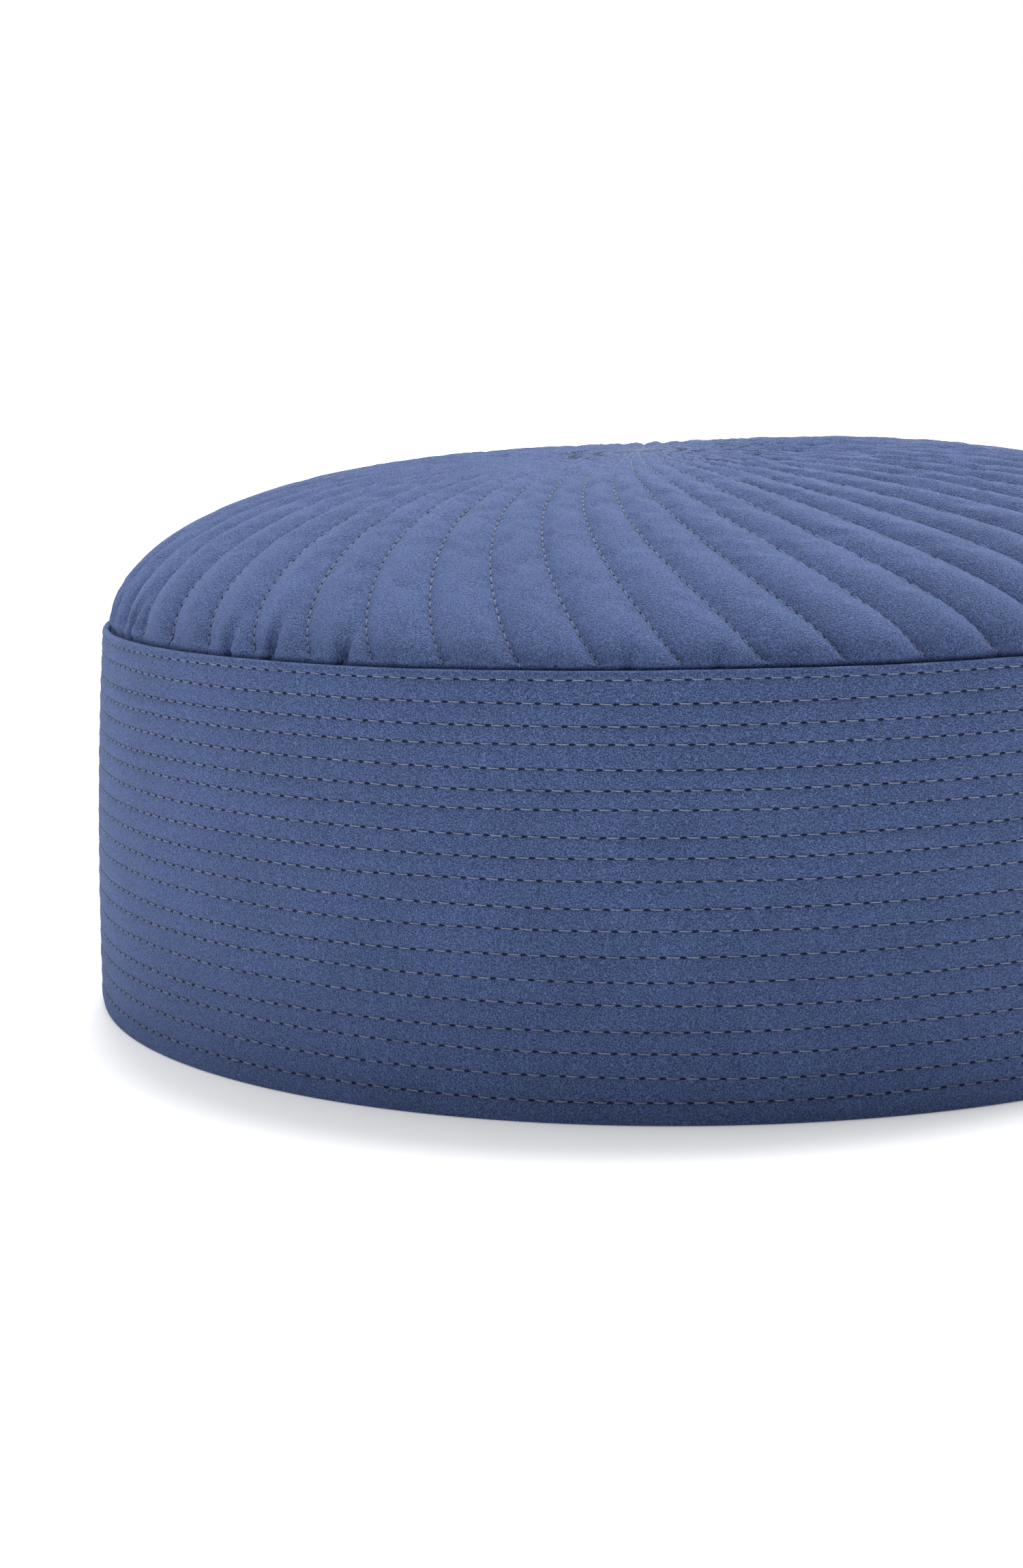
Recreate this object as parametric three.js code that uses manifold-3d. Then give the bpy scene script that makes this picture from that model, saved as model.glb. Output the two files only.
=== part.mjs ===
// A quilted round cap without a brim: an upright stitched band that stands on its hem, and a low
// domed crown quilted in a swirl of curved lines. Millimetres, +Z up. The origin is the middle of
// the head opening, on the plane that the hem stands on. The front faces -Y.

import * as THREE from 'three';
import { mergeVertices } from 'three/addons/utils/BufferGeometryUtils.js';
import Module from 'manifold-3d';

// ---- Overall sizes ----
const rimRadius = 97.3; // outside of the band at the hem
const bandTaper = 2.6; // how much smaller the outside radius is at the band's top edge
const bandHeight = 61.7;
const crownRise = 27.5; // from the band's top edge to the crown's top, before its middle sinks in
const crownDimple = 1.7; // how far the quilting lines pull the middle of the crown down
const dimpleRadius = 24;

// The crown's outline is (r / seam radius)^sideFullness + (z / rise)^topFullness = 1.
const sideFullness = 2.6;
const topFullness = 2.4;

// ---- Thickness of each ply ----
const shellCloth = 0.5; // the blue crepe
const liningCloth = 0.3;
const felt = 1;
const canvas = 0.5;
const wadding = 2; // the crown's soft filling, between the quilting lines
const waddingEdge = 0.2; // the same filling, pressed flat in the crown seam
const waddingEase = 0.3; // share of the way up the crown over which it reaches its full thickness
const plyGap = 0.05; // plies lie this close without touching
const edgeGap = 0.3; // between the edge of one ply and the edge of the next

// ---- Turnings and seam allowances ----
const topTurning = 6; // band cloth folded down inside along the top edge
const hemTurning = 8; // band cloth folded up inside along the hem
const liningTurning = 5;
const liningSetback = 1.2; // the lining's folds stop this short of the band's edges
const crownAllowance = 7; // crown edge held inside the band

// ---- Sewing ----
const rowCount = 19; // rows of stitches round the band
const edgeRowDrop = 1.3; // top row below the band's top edge
const hemRowHeight = 3.5; // lowest row above the hem's edge
const rowLift = 1.5; // the middle rows lie this much higher than even spacing puts them
const rowLiftSkew = 0.8; // under 1, the highest lift is in the upper half
const quiltLineCount = 53; // curved lines across the crown
const quiltTurn = THREE.MathUtils.degToRad(26.5); // how far a line swings round from middle to seam
const threadWidth = 0.5;
const threadHeight = 0.3;
const quiltThreadRadius = 0.2;
const quiltLineStart = 1.5; // a quilting line comes out of the seam this far above the band
const knotRadius = 6; // patch of thread where the quilting lines meet
const knotHeight = 0.4;

// ---- Fineness of the model ----
const roundSegments = 36;
const crownSteps = 10;
const threadSides = 3;

// ---- Where each ply lies, as a depth behind the band's outer face ----
const turnedDepth = shellCloth + plyGap;
const crownDepth = turnedDepth + shellCloth + plyGap;
const crownLiningInset = shellCloth + waddingEdge + 2 * plyGap; // from the crown's own outer face
const crownLiningDepth = crownDepth + crownLiningInset;
const feltDepth = shellCloth + plyGap;
const canvasDepth = feltDepth + felt + plyGap;
const hemDepth = canvasDepth + canvas + plyGap;
const innermostPly = Math.max(hemDepth + shellCloth, crownLiningDepth + liningCloth);
const liningTurnedDepth = innermostPly + plyGap;
const liningDepth = liningTurnedDepth + liningCloth + plyGap;

const seamRadius = rimRadius - bandTaper - crownDepth; // the crown's outer face at the seam

const crepe = new THREE.MeshStandardMaterial({ color: 0x586a96, roughness: 0.95, metalness: 0 });
const poplin = new THREE.MeshStandardMaterial({ color: 0x46557c, roughness: 0.9, metalness: 0 });
const needleFelt = new THREE.MeshStandardMaterial({ color: 0xd8d6cf, roughness: 1, metalness: 0 });
const stiffCanvas = new THREE.MeshStandardMaterial({ color: 0xe6e1d3, roughness: 0.95, metalness: 0 });
const polyesterFill = new THREE.MeshStandardMaterial({ color: 0xf2f2f0, roughness: 1, metalness: 0 });
const sewingThread = new THREE.MeshStandardMaterial({ color: 0x8d93a6, roughness: 0.7, metalness: 0 });

const cap = new THREE.Group();

function addPiece(name, geometry, material) {
  const mesh = new THREE.Mesh(geometry, material);
  mesh.name = name;
  cap.add(mesh);
}

// Turns an outline of [radius, height] points round the Z axis.
function turned(outline) {
  const points = outline.map(([radius, height]) => new THREE.Vector2(radius, height));
  return new THREE.LatheGeometry(points, roundSegments).rotateX(Math.PI / 2);
}

function closed(outline) {
  return [...outline, outline[0]];
}

// A point in the band's wall: its height, and its depth behind the outer face.
function wall(depth, height) {
  return [rimRadius - bandTaper * height / bandHeight - depth, height];
}

// ---- Band ----

// One strip of cloth with both long edges folded in: the outline runs up the outer face, over the
// top fold, down the turning, back down inside, round under the stiffening and up the hem turning.
function bandOuter() {
  return turned(closed([
    wall(0, 0),
    wall(0, bandHeight),
    wall(turnedDepth + shellCloth, bandHeight),
    wall(turnedDepth + shellCloth, bandHeight - topTurning),
    wall(turnedDepth, bandHeight - topTurning),
    wall(turnedDepth, bandHeight - shellCloth),
    wall(shellCloth, bandHeight - shellCloth),
    wall(shellCloth, shellCloth),
    wall(hemDepth, shellCloth),
    wall(hemDepth, hemTurning),
    wall(hemDepth + shellCloth, hemTurning),
    wall(hemDepth + shellCloth, 0),
  ]));
}

// A plain strip of stiffening, between the hem's fold and the edges turned in at the top.
function stiffening(depth, thickness) {
  const bottom = shellCloth + plyGap;
  const top = bandHeight - Math.max(topTurning, crownAllowance) - edgeGap;
  return turned(closed([
    wall(depth, bottom),
    wall(depth, top),
    wall(depth + thickness, top),
    wall(depth + thickness, bottom),
  ]));
}

// The lining strip, its long edges folded in against the wall.
function bandLining() {
  const bottom = liningSetback;
  const top = bandHeight - liningSetback;
  const turnedBack = liningTurnedDepth + liningCloth;
  return turned(closed([
    wall(liningTurnedDepth, bottom),
    wall(liningTurnedDepth, bottom + liningTurning),
    wall(turnedBack, bottom + liningTurning),
    wall(turnedBack, bottom + liningCloth),
    wall(liningDepth, bottom + liningCloth),
    wall(liningDepth, top - liningCloth),
    wall(turnedBack, top - liningCloth),
    wall(turnedBack, top - liningTurning),
    wall(liningTurnedDepth, top - liningTurning),
    wall(liningTurnedDepth, top),
    wall(liningDepth + liningCloth, top),
    wall(liningDepth + liningCloth, bottom),
  ]));
}

// Rows run from the edge row down to the hem row; the ones between were sewn a little high.
function rowHeight(row) {
  const share = row / (rowCount - 1);
  const even = THREE.MathUtils.lerp(bandHeight - edgeRowDrop, hemRowHeight, share);
  return even + rowLift * Math.sin(Math.PI * share ** rowLiftSkew) ** 2;
}

// One row of stitches: a thin ring of thread lying on the band's outer face.
function stitchRow(height) {
  const half = threadWidth / 2;
  return turned(closed([
    wall(-plyGap, height - half),
    wall(-plyGap - threadHeight, height),
    wall(-plyGap, height + half),
  ]));
}

// ---- Crown ----

// The crown's outer face in section, from the seam (t = 0) up to the middle (t = 1).
class CrownMeridian extends THREE.Curve {
  getPoint(t) {
    const angle = t * Math.PI / 2;
    const radius = t < 1 ? seamRadius * Math.cos(angle) ** (2 / sideFullness) : 0;
    const dimple = crownDimple * Math.exp(-((radius / dimpleRadius) ** 2));
    const height = bandHeight + crownRise * Math.sin(angle) ** (2 / topFullness) - dimple;
    return new THREE.Vector2(radius, height);
  }
}

const meridian = new CrownMeridian();

// The point a share of the way up the crown, moved inward from its outer face by an inset.
function onCrown(share, inset) {
  const point = meridian.getPointAt(share);
  const along = meridian.getTangentAt(share);
  if (share === 0) along.set(0, 1);
  if (share === 1) along.set(-1, 0);
  return [point.x - inset * along.y, point.y + inset * along.x];
}

// The filling is thin in the seam and reaches its full thickness part of the way up.
function fillingThickness(share) {
  return waddingEdge + (wadding - waddingEdge) * THREE.MathUtils.smoothstep(share, 0, waddingEase);
}

function liningInset(share) {
  return shellCloth + fillingThickness(share) + 2 * plyGap;
}

// The points of one face of the crown, from the seam to the middle, at a given inset.
function crownFace(insetAt) {
  const face = [];
  for (let step = 0; step <= crownSteps; step++) {
    const share = step / crownSteps;
    face.push(onCrown(share, insetAt(share)));
  }
  face[crownSteps][0] = 0;
  return face;
}

// A domed sheet between two faces. With an edge, it runs down inside the band by the seam allowance.
function crownSheet(outerInset, innerInset, edgeDepths) {
  const outer = crownFace(outerInset);
  const inner = crownFace(innerInset).reverse();
  const edge = edgeDepths.map((depth) => wall(depth, bandHeight - crownAllowance)).reverse();
  return turned([...inner, ...edge, ...outer]);
}

function crownOuter() {
  const edge = [crownDepth, crownDepth + shellCloth];
  return crownSheet(() => 0, () => shellCloth, edge);
}

function crownWadding() {
  const outer = () => shellCloth + plyGap;
  const inner = (share) => shellCloth + plyGap + fillingThickness(share);
  return crownSheet(outer, inner, []);
}

function crownLining() {
  const edge = [crownLiningDepth, crownLiningDepth + liningCloth];
  return crownSheet(liningInset, (share) => liningInset(share) + liningCloth, edge);
}

// ---- Quilting thread of the crown ----

// One curved line of thread, just above the crown: it swings round as it runs from the middle out.
class QuiltLine extends THREE.Curve {
  getPoint(t) {
    const first = quiltLineStart / meridian.getLength();
    const last = 1 - knotRadius / meridian.getLength();
    const share = THREE.MathUtils.lerp(first, last, t);
    const [radius, height] = onCrown(share, -quiltThreadRadius - edgeGap);
    const angle = quiltTurn * radius / seamRadius;
    return new THREE.Vector3(radius * Math.cos(angle), radius * Math.sin(angle), height);
  }
}

const wasm = await Module();
wasm.setup();

function toSolid(geometry) {
  geometry.deleteAttribute('normal');
  geometry.deleteAttribute('uv');
  const merged = mergeVertices(geometry);
  const vertProperties = new Float32Array(merged.attributes.position.array);
  const triVerts = new Uint32Array(merged.index.array);
  return new wasm.Manifold(new wasm.Mesh({ numProp: 3, vertProperties, triVerts }));
}

function toGeometry(solid) {
  const mesh = solid.getMesh();
  const geometry = new THREE.BufferGeometry();
  geometry.setAttribute('position', new THREE.BufferAttribute(mesh.vertProperties, 3));
  geometry.setIndex(new THREE.BufferAttribute(mesh.triVerts, 1));
  return geometry;
}

function quiltLineSolid() {
  const corners = [];
  for (let side = 0; side < threadSides; side++) {
    const angle = 2 * Math.PI * side / threadSides;
    corners.push(new THREE.Vector2(Math.cos(angle), Math.sin(angle)).multiplyScalar(quiltThreadRadius));
  }
  return toSolid(new THREE.ExtrudeGeometry(new THREE.Shape(corners), {
    steps: crownSteps,
    extrudePath: new QuiltLine(),
    bevelEnabled: false,
  }));
}

// All the quilting lines, joined by the patch of thread in the middle, as one body.
function quiltingThread() {
  const knotRim = onCrown(1 - knotRadius / meridian.getLength(), -edgeGap)[1];
  const knot = new THREE.CylinderGeometry(knotRadius, knotRadius, knotHeight, quiltLineCount);
  knot.rotateX(Math.PI / 2);
  knot.translate(0, 0, knotRim + knotHeight / 2);
  const line = quiltLineSolid();
  const pieces = [toSolid(knot)];
  for (let index = 0; index < quiltLineCount; index++) {
    pieces.push(line.rotate([0, 0, 360 * index / quiltLineCount]));
  }
  return toGeometry(wasm.Manifold.union(pieces));
}

// ---- Assembly ----

addPiece('band_outer', bandOuter(), crepe);
addPiece('band_felt', stiffening(feltDepth, felt), needleFelt);
addPiece('band_canvas', stiffening(canvasDepth, canvas), stiffCanvas);
addPiece('band_lining', bandLining(), poplin);
addPiece('crown_outer', crownOuter(), crepe);
addPiece('crown_wadding', crownWadding(), polyesterFill);
addPiece('crown_lining', crownLining(), poplin);
addPiece('crown_quilting_thread', quiltingThread(), sewingThread);

for (let row = 0; row < rowCount; row++) {
  const number = String(row + 1).padStart(2, '0');
  addPiece(`band_stitch_row_${number}`, stitchRow(rowHeight(row)), sewingThread);
}

export default cap;
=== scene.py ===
import math

import bpy
import numpy as np
from mathutils import Matrix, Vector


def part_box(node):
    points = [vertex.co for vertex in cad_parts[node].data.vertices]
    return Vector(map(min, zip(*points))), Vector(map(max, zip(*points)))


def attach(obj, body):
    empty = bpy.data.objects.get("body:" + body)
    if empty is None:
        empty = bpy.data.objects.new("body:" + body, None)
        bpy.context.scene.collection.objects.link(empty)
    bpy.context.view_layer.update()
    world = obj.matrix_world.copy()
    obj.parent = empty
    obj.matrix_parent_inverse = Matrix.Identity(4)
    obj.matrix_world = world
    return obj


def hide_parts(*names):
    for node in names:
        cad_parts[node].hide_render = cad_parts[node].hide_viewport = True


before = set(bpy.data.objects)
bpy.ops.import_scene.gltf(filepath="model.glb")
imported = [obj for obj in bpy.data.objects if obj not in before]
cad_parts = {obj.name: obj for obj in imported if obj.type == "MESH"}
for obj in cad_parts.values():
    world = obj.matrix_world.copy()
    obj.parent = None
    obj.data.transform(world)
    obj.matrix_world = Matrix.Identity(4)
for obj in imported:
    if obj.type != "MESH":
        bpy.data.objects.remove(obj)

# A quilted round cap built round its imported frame. Metres, +Z up, front towards -Y.

bl_info = {
    "name": "Quilted round cap",
    "version": (1, 0, 0),
    "blender": (4, 5, 0),
    "location": "View3D > Sidebar > Cap",
    "description": "Cloth, quilting and stitches of a round cap, fitted to its packed frame",
    "category": "Add Mesh",
}

MM = 0.001
TAU = 2 * math.pi
BODY = "root"
GOLDEN = 0.618  # shifts each sewn line's stitches against its neighbour's

# ---- Sizes that no panel changes ----

PLY_GAP = 0.05 * MM
TOP_TURNING = 6 * MM
HEM_TURNING = 8 * MM
LINING_TURNING = 5 * MM
LINING_CLOTH = 0.3 * MM
SEAM_ZONE = 9 * MM  # the crown's grid is finer this near the seam
SWELLING_CAP = 1.2 * MM  # the furthest that a point of the crown moves when it is blown up
SIMULATION_SCALE = 10
SIMULATION_FRAMES = 20
SIMULATED_FULLNESS = 0.85  # the channels' height before the crown is blown up
LINING_PUFF = -0.45  # the crown lining's creases, as a share of the crown's and the other way up
CHANNEL_STEPS = np.array([0, 0.035, 0.09, 0.17, 0.26, 0.34, 0.41, 0.48, 0.55, 0.62, 0.7, 0.79, 0.88, 0.955])
WORLD_LOW = 0.04
CAMERA_UNIT = 96 * MM  # the camera's distance and height are given in these, a little under the rim's radius

# ---- What the frame gives ----

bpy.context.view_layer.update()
RIM_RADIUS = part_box("band_outer")[1].x
BAND_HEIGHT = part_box("band_outer")[1].z
SEAM_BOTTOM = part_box("crown_outer")[0].z
ROW_NODES = sorted(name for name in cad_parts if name.startswith("band_stitch_row_"))
ROW_BOXES = [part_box(name) for name in ROW_NODES]
ROW_HEIGHTS = np.array([(low.z + high.z) / 2 for low, high in ROW_BOXES])
TAPER = (ROW_BOXES[-1][1].x - ROW_BOXES[0][1].x) / (ROW_HEIGHTS[0] - ROW_HEIGHTS[-1])
WALL_DEPTH = RIM_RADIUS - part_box("band_lining")[1].x  # outer face to the lining's first ply
FILLING_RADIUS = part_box("crown_wadding")[1].x
LINING_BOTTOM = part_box("band_lining")[0].z
LINING_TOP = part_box("band_lining")[1].z


def linear(hex_colour):
    """The linear RGB of an sRGB hex colour."""
    channels = np.array([int(hex_colour[i:i + 2], 16) for i in (1, 3, 5)]) / 255
    low = channels / 12.92
    high = ((channels + 0.055) / 1.055) ** 2.4
    return tuple(float(value) for value in np.where(channels <= 0.04045, low, high))


def length_property(name, description, default):
    return bpy.props.FloatProperty(
        name=name, description=description, default=default, subtype="DISTANCE", unit="LENGTH", precision=5)


def colour_property(name, description, hex_colour):
    return bpy.props.FloatVectorProperty(
        name=name, description=description, default=linear(hex_colour), subtype="COLOR", size=3, min=0, max=1)


# ---- Properties ----

class CapBandSizes(bpy.types.PropertyGroup):
    cloth: length_property("Cloth", "Thickness of the crepe", 0.5 * MM)
    bulge: length_property("Bulge", "How far the band swells out half way up", 0.7 * MM)
    puff: length_property("Puff", "How far the cloth stands out between two rows", 0.26 * MM)
    waver: length_property("Waver", "How far a row strays up and down", 0.22 * MM)
    columns: bpy.props.IntProperty(name="Columns", description="Steps round the band", default=480, min=48)


class CapCrownSizes(bpy.types.PropertyGroup):
    lines: bpy.props.IntProperty(name="Lines", description="Quilting lines", default=53, min=3)
    turn: bpy.props.FloatProperty(
        name="Turn", description="How far a line swings round between the middle and the seam",
        default=math.radians(22), subtype="ANGLE", unit="ROTATION")
    first_line: bpy.props.FloatProperty(
        name="First line", description="Where the first line meets the seam",
        default=math.radians(-89.4), subtype="ANGLE", unit="ROTATION")
    puff: length_property("Puff", "Height of a quilted channel at the seam", 1.7 * MM)
    swell: length_property("Swell", "How far the crown swells out over the seam", 0.6 * MM)
    rise: length_property("Rise", "Height of the dome over the band's edge", 27.2 * MM)
    sag: bpy.props.FloatProperty(name="Sag", description="Fall to front and back, per metre", default=0.93)
    tilt_x: bpy.props.FloatProperty(name="Tilt X", description="Rise of the dome towards +X", default=0.026)
    tilt_y: bpy.props.FloatProperty(name="Tilt Y", description="Rise of the dome towards +Y", default=0.049)
    lean: length_property("Lean", "How far the dome leans to +X", 3.6 * MM)
    dimple: length_property("Dimple", "How far the middle sinks in", 1.7 * MM)
    dimple_radius: length_property("Dimple radius", "Reach of the dimple", 37 * MM)
    middle_x: length_property("Middle X", "How far the middle is pulled to +X", -9.6 * MM)
    middle_y: length_property("Middle Y", "How far the middle is pulled to +Y", 5.0 * MM)
    tuck: length_property("Tuck", "Depth of the creases where the crown is eased into the seam", 2.7 * MM)
    side_fullness: bpy.props.FloatProperty(name="Side fullness", description="Exponent across", default=2.72)
    top_fullness: bpy.props.FloatProperty(name="Top fullness", description="Exponent upwards", default=2.25)


class CapStitchSizes(bpy.types.PropertyGroup):
    band_length: length_property("Band stitch", "Length of a stitch round the band", 2.72 * MM)
    crown_length: length_property("Crown stitch", "Length of a quilting stitch", 2.2 * MM)
    thread: length_property("Thread", "Thickness of the sewing thread", 0.2 * MM)


class CapColours(bpy.types.PropertyGroup):
    # crepe and crepe_shade are a lit and a shaded colour of one crepe: its grain is partly the yarn's own
    # tone and partly painted shade in the grain's hollows
    crepe: colour_property("Crepe", "Lit side of the crepe's grain", "#586D9D")
    crepe_shade: colour_property("Crepe shade", "Hollows of the crepe's grain", "#2C3A5E")
    # painted shadow: the needle holes get a dark colour that stands in for the shade inside them
    needle_hole_shadow: colour_property("Needle hole", "Shadow in a needle hole", "#121A33")
    thread: colour_property("Thread", "Sewing thread", "#717C92")
    lining: colour_property("Lining", "Cotton lining", "#4E5E88")
    floor: colour_property("Floor", "Studio floor", "#F7F7F7")


# ---- Meshes ----

def add_surface(name, grid, uv, ring):
    """A closed surface from a grid of points: rows run along a section, columns go round the axis.

    The columns always close. With ring, the section closes on itself; without it, the first and the
    last row each shrink to one point on the axis. uv is a grid one column wider than the points.
    """
    rows, columns = grid.shape[:2]
    if ring:
        first, second = np.arange(rows), (np.arange(rows) + 1) % rows
        uv = np.concatenate([uv, uv[:1]])
        points = grid.reshape(-1, 3)
        index = np.arange(rows * columns).reshape(rows, columns)
    else:
        first, second = np.arange(rows - 1), np.arange(1, rows)
        points = np.concatenate([grid[0].mean(0)[None], grid[1:-1].reshape(-1, 3), grid[-1].mean(0)[None]])
        index = np.zeros((rows, columns), int)
        index[1:-1] = 1 + np.arange((rows - 2) * columns).reshape(rows - 2, columns)
        index[-1] = len(points) - 1
    here, there = index[first], index[second]
    corners = np.stack([here, np.roll(here, -1, 1), np.roll(there, -1, 1), there], -1)
    places = np.stack([uv[:-1, :-1], uv[:-1, 1:], uv[1:, 1:], uv[1:, :-1]], -2)
    faces, face_uv = [], []
    for row in range(len(first)):
        keep = [0, 1, 2, 3]
        if not ring and row == 0:
            keep = [0, 2, 3]
        if not ring and row == len(first) - 1:
            keep = [0, 1, 2]
        faces.append(corners[row][:, keep])
        face_uv.append(places[row][:, keep])
    return add_mesh(name, points, faces, face_uv)


def add_mesh(name, points, faces, face_uv):
    """A mesh object from points and lists of face arrays, each with its UV, turned to face outwards."""
    volume = 0.0
    for block in faces:
        a, b, c = points[block[:, 0]], points[block[:, 1]], points[block[:, 2]]
        volume += np.einsum("ij,ij->i", a, np.cross(b, c)).sum()
        if block.shape[1] == 4:
            volume += np.einsum("ij,ij->i", a, np.cross(c, points[block[:, 3]])).sum()
    step = 1 if volume > 0 else -1
    corner_list = np.concatenate([block[:, ::step].ravel() for block in faces])
    uv_list = np.concatenate([block[:, ::step].reshape(-1, 2) for block in face_uv])
    sizes = np.concatenate([np.full(len(block), block.shape[1]) for block in faces])
    mesh = bpy.data.meshes.new(name)
    mesh.vertices.add(len(points))
    mesh.vertices.foreach_set("co", points.astype(np.float32).ravel())
    mesh.loops.add(len(corner_list))
    mesh.loops.foreach_set("vertex_index", corner_list.astype(np.int32))
    mesh.polygons.add(len(sizes))
    mesh.polygons.foreach_set("loop_start", (np.cumsum(sizes) - sizes).astype(np.int32))
    mesh.polygons.foreach_set("use_smooth", np.ones(len(sizes), bool))
    mesh.uv_layers.new(name="sewing")
    mesh.uv_layers["sewing"].uv.foreach_set("vector", uv_list.astype(np.float32).ravel())
    mesh.update(calc_edges=True)
    mesh.validate()
    piece = bpy.data.objects.new(name, mesh)
    bpy.context.scene.collection.objects.link(piece)
    return piece


def add_stitches(name, start, end, normal, thread, sides=6):
    """One strand of thread for each pair of needle holes.

    Along a stitch the strand dips into the cloth at both ends and lies flat between; its section is an
    ellipse, a little wider than it is high, that thins towards the ends.
    """
    along = np.array([0.0, 0.1, 0.3, 0.7, 0.9, 1.0])
    lift = np.array([-0.9, 0.05, 0.42, 0.42, 0.05, -0.9]) * thread
    width = np.array([0.35, 0.9, 1.0, 1.0, 0.9, 0.35]) * thread / 2
    run = end - start
    side = np.cross(run, normal)
    side /= np.linalg.norm(side, axis=-1, keepdims=True)
    slant = (along - 0.5) * 0.35 * thread
    middle = (start[:, None] + run[:, None] * along[:, None] + normal[:, None] * lift[:, None]
              + side[:, None] * slant[:, None])
    angle = TAU * np.arange(sides) / sides
    across = side[:, None, None] * (np.cos(angle)[:, None] * 1.1)
    upward = normal[:, None, None] * (np.sin(angle)[:, None] * 0.85)
    points = middle[:, :, None] + (across + upward) * width[:, None, None]
    count, rings = points.shape[:2]
    index = np.arange(count * rings * sides).reshape(count, rings, sides)
    here, there = index[:, :-1], index[:, 1:]
    quads = np.stack([here, np.roll(here, -1, 2), np.roll(there, -1, 2), there], -1).reshape(-1, 4)
    u = np.broadcast_to(along[None, :, None], (count, rings, sides + 1))
    v = np.broadcast_to(np.arange(sides + 1) / sides, (count, rings, sides + 1))
    place = np.stack([u, v], -1)
    quad_uv = np.stack([place[:, :-1, :-1], place[:, :-1, 1:], place[:, 1:, 1:], place[:, 1:, :-1]], -2)
    caps = np.concatenate([index[:, 0, ::-1], index[:, -1]])
    cap_uv = np.concatenate([place[:, 0, :-1], place[:, -1, :-1]])
    return add_mesh(name, points.reshape(-1, 3), [quads, caps], [quad_uv.reshape(-1, 4, 2), cap_uv])


# ---- The band's wall ----

def slow_waver(angle, seed):
    """A smooth uneven line round the cap: four sines of whole cycles, between about -1 and 1."""
    return (np.sin(2 * angle + 1.9 * seed) + 0.8 * np.sin(3 * angle + 4.1 * seed)
            + 0.5 * np.sin(7 * angle + 2.3 * seed) + 0.25 * np.sin(16 * angle + 5.7 * seed)) / 2.2


def wall_swelling(height):
    """How far the crepe swells out from the stiffening: a shallow barrel."""
    share = np.clip(height / BAND_HEIGHT, 0, 1)
    return bpy.context.scene.cap_band.bulge * 4 * share * (1 - share)


def wall_radius(height):
    """Radius of the band's outer face: a straight taper and the barrel swelling."""
    return RIM_RADIUS - TAPER * height + wall_swelling(height)


def on_wall(angle, height, outward):
    """The point at an angle and a height, moved outward from the band's outer face."""
    radius = wall_radius(height) + outward
    height = np.broadcast_to(height, np.shape(radius))
    return np.stack([radius * np.cos(angle), radius * np.sin(angle), height], -1)


def row_line(row, angle):
    """Height of a row of stitches at an angle: its own height, a small fixed error and a slow waver."""
    waver = bpy.context.scene.cap_band.waver
    if row == 0:
        return ROW_HEIGHTS[0] + 0.8 * waver * slow_waver(angle, 0)
    return ROW_HEIGHTS[row] + waver * (slow_waver(angle, row) + 0.7 * math.sin(2.4 * row))


def top_edge(angle):
    """Height of the band's folded top edge, which the edge row follows."""
    return BAND_HEIGHT + bpy.context.scene.cap_band.waver * (0.8 * slow_waver(angle, 0) - 0.5)


def back_angles(columns):
    """Angles round the cap, starting at the middle of the back."""
    return math.pi / 2 + TAU * np.arange(columns) / columns


def stitch_count(radius, length):
    return round(TAU * radius / length)


def wall_section(angle, puff, depth, face):
    """The stitched face of a wall, from the top row down to the hem row.

    Between two rows the cloth bulges by sine to the power 0.7 of the way across, so that it creases at
    the stitches. Returns heights, outward offsets, row numbers and distances from the nearest row.
    """
    steps = np.array([0, 0.05, 0.14, 0.28, 0.5, 0.72, 0.86, 0.95])
    heights, offsets, rows, gaps = [], [], [], []
    for row in range(len(ROW_HEIGHTS) - 1):
        upper, lower = row_line(row, angle), row_line(row + 1, angle)
        strength = 1 + 0.35 * slow_waver(angle, row + 31)
        for step in steps:
            heights.append(upper + (lower - upper) * step)
            bulge = puff * strength * (math.sin(math.pi * step) ** 0.7 - 0.4)
            offsets.append(-depth + face * bulge)
            rows.append(row if step < 0.5 else row + 1)
            gaps.append(np.minimum(step, 1 - step) * (upper - lower))
    heights.append(row_line(len(ROW_HEIGHTS) - 1, angle))
    offsets.append(-depth - face * 0.4 * puff + 0 * angle)
    rows.append(len(ROW_HEIGHTS) - 1)
    gaps.append(0 * angle)
    return heights, offsets, rows, gaps


class Section:
    """Collects the rows of a wall's closed section, each with its height, offset and sewing UV."""

    def __init__(self, angle, straight=0):
        self.angle = angle
        self.straight = straight  # 1 for a wall that follows the stiffening, without the swelling
        self.heights, self.offsets, self.rows, self.gaps = [], [], [], []

    def add(self, height, offset, row=0, gap=3 * MM):
        self.heights.append(height + 0 * self.angle)
        self.offsets.append(offset + 0 * self.angle - self.straight * wall_swelling(height))
        self.rows.append(row)
        self.gaps.append(gap + 0 * self.angle)

    def add_all(self, heights, offsets, rows, gaps):
        for height, offset, row, gap in zip(heights, offsets, rows, gaps):
            self.add(height, offset, row, gap)

    def build(self, name, stitches):
        """The surface, with UV: stitches counted along the row, and millimetres from the row."""
        grid = np.stack([on_wall(self.angle, h, o) for h, o in zip(self.heights, self.offsets)])
        columns = len(self.angle)
        along = stitches * np.arange(columns + 1) / columns
        u = along[None] + GOLDEN * np.array(self.rows)[:, None]
        gap = np.array(self.gaps) / MM
        v = np.concatenate([gap, gap[:, :1]], 1)
        return add_surface(name, grid, np.stack([u, v], -1), ring=True)


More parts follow.
